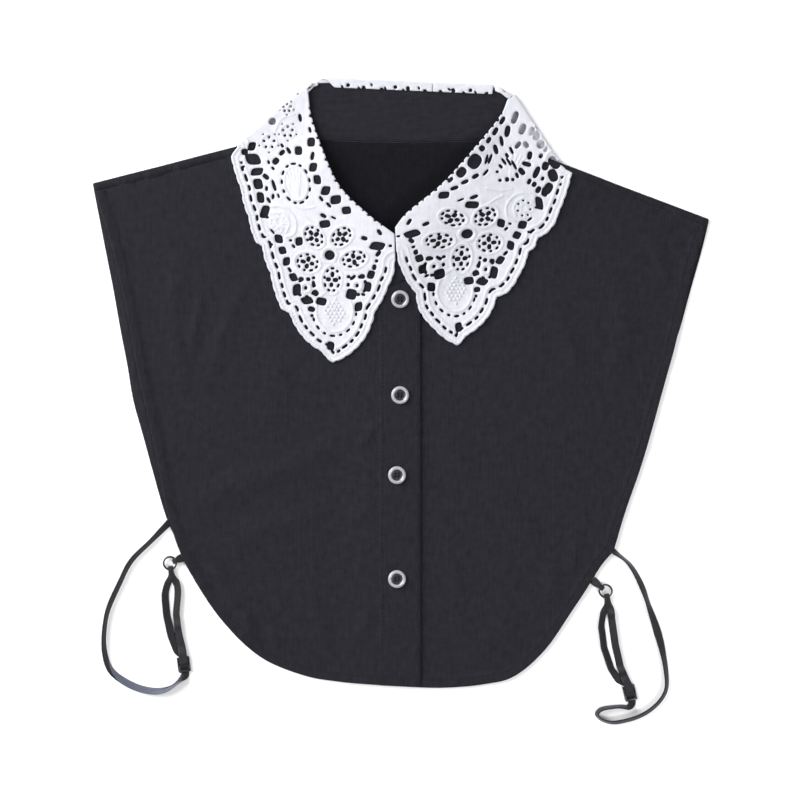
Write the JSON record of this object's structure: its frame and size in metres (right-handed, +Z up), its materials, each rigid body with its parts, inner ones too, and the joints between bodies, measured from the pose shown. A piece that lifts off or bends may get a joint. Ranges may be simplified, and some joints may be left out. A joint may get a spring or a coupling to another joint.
{
  "type": "detachable shirt collar with lace collar",
  "caption": "Black cotton dickey with a white cord-lace collar, pearl buttons and elastic side straps, buttoned and laid flat.",
  "frame": {"origin": "centre of the garment's bounding box in plan, on the table it lies on, straps left out", "axes": "+X to the viewer's right across the shoulders, +Y from the hem to the collar, +Z up out of the table, towards the front of the garment"},
  "size_m": [0.3829, 0.4033, 0.0137],
  "materials": {
    "cotton": "matt black poplin, fine plain weave",
    "lace": "white guipure lace, soft sheen, raised cords",
    "pearl": "glossy grey pearl polyester",
    "elastic": "black plush elastic, soft sheen",
    "enamel": "glossy black nylon coat"
  },
  "bodies": {
    "root": {"back_panel": "cotton", "front_left": "cotton", "front_right": "cotton", "collar_stand": "cotton", "lace_left": "lace", "lace_right": "lace", "button_1": "pearl", "button_2": "pearl", "button_3": "pearl", "button_4": "pearl", "strap_left": "elastic", "tab_left": "elastic", "slider_left": "enamel", "ring_left": "enamel", "strap_right": "elastic", "tab_right": "elastic", "slider_right": "enamel", "ring_right": "enamel"}
  },
  "joints": []
}
